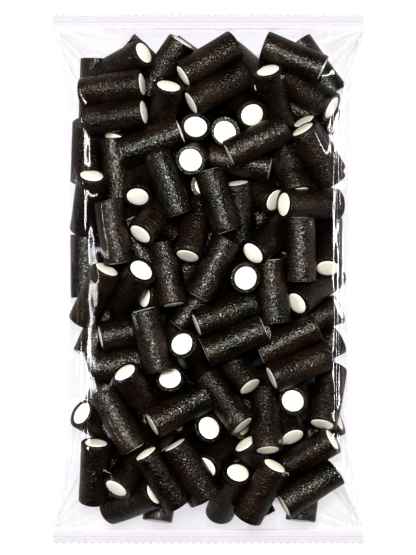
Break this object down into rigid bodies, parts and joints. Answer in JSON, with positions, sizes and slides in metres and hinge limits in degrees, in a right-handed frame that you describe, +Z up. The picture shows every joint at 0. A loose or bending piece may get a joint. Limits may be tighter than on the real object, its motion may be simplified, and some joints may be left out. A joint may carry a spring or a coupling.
{
  "type": "bag of licorice pencils",
  "caption": "Clear sealed pillow bag filled with short-cut black licorice pencils, each a soft tube round a solid cream core, lying on its back.",
  "frame": {"origin": "bottom centre of the bag, on the surface it lies on", "axes": "+Z up, out of the bag's face; +Y along the bag towards its top seal; +X across the bag"},
  "size_m": [0.1554, 0.265, 0.0462],
  "materials": {
    "licorice": "soft brown-black licorice skin with a dull, fine-grained sheen",
    "cream": "smooth dense ivory fondant, barely shiny",
    "film": "clear glossy packing film"
  },
  "bodies": {
    "root": {"licorice_bag": "licorice"}
  },
  "joints": []
}
